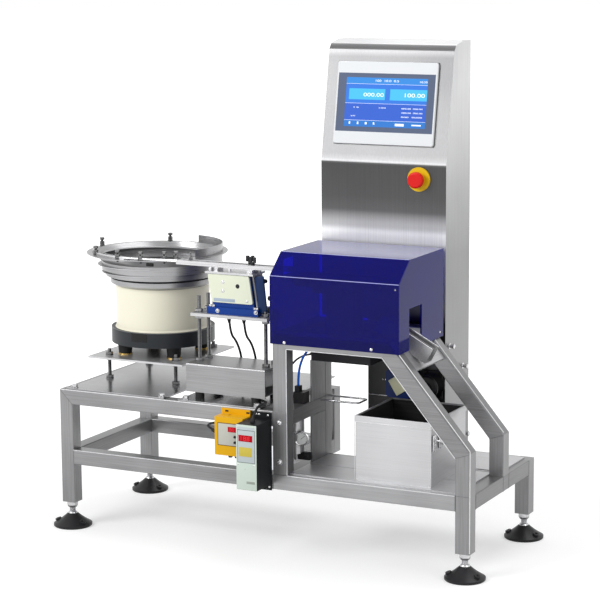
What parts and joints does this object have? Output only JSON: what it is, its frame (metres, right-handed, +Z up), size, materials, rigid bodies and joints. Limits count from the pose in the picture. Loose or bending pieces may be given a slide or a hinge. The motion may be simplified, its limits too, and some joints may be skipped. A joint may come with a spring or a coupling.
{
  "type": "checkweigher",
  "caption": "Stainless checkweigher on levelling feet: vibratory bowl and linear feeder, blue hooded weigher, reject chute and bin, and an operator tower with a sloped screen.",
  "frame": {"origin": "on the floor, under the middle of the machine", "axes": "+Z up, -Y to the operator's side, +X from the bowl feeder to the reject end"},
  "size_m": [1.2065, 0.543, 1.255],
  "materials": {
    "frame_steel": "satin",
    "sheet_steel": "satin",
    "bright_steel": "polished",
    "black_rubber": "matte",
    "foot_plastic": "matte",
    "black_plastic": "satin",
    "dark_paint": "satin",
    "cream_paint": "satin",
    "blue_paint": "satin",
    "yellow_plastic": "satin",
    "blue_acrylic": "gloss",
    "bezel_grey": "satin",
    "screen": "gloss",
    "red_plastic": "gloss",
    "blue_tube": "satin"
  },
  "bodies": {
    "machine": {"table_legs": "frame_steel", "table_top_rails": "frame_steel", "table_lower_rails": "frame_steel", "weigher_posts": "frame_steel", "weigher_top_rails": "frame_steel", "slanted_rails": "frame_steel", "weigher_legs": "frame_steel", "base_rails": "frame_steel", "cross_rails": "frame_steel", "joint_plate": "frame_steel", "foot_discs": "foot_plastic", "foot_studs": "bright_steel", "base_plates": "sheet_steel", "table_plates": "sheet_steel", "raised_plate": "sheet_steel", "raised_plate_rods": "bright_steel", "bowl_rubber_feet": "black_rubber", "drive_base_ring": "dark_paint", "drive_cover": "cream_paint", "clamping_ring": "bright_steel", "feed_bowl": "bright_steel", "bowl_guide_wall": "bright_steel", "channel_stand": "sheet_steel", "channel_rubber_mounts": "black_rubber", "drive_plate": "sheet_steel", "drive_plate_rods": "bright_steel", "linear_drive": "blue_paint", "drive_leaf_springs": "blue_paint", "linear_drive_cover": "cream_paint", "track_plate": "sheet_steel", "feed_track": "bright_steel", "yellow_controller": "yellow_plastic", "tall_controller": "black_plastic", "hood": "blue_acrylic", "weigher_base": "black_plastic", "weighing_belt": "black_plastic", "reject_chute": "sheet_steel", "bridge_plate": "frame_steel", "reject_bin": "sheet_steel", "bin_handle": "sheet_steel", "rod_loop": "frame_steel", "tower_column": "frame_steel", "tower_cabinet": "frame_steel", "hmi_bezel": "bezel_grey", "hmi_screen": "screen", "stop_collar": "yellow_plastic", "reject_drive": "blue_paint", "side_sheets": "frame_steel", "air_regulator": "black_plastic", "plug_box": "black_plastic", "feeder_cable_left": "black_plastic", "feeder_cable_right": "black_plastic", "sensor_cable": "black_plastic", "air_tube": "blue_tube"},
    "stop_button": {"stop_button": "red_plastic"}
  },
  "joints": [
    {"name": "stop_press", "type": "slide", "parent": "machine", "child": "stop_button", "axis": [0, 1, 0], "range_m": [0, 0.004]}
  ]
}
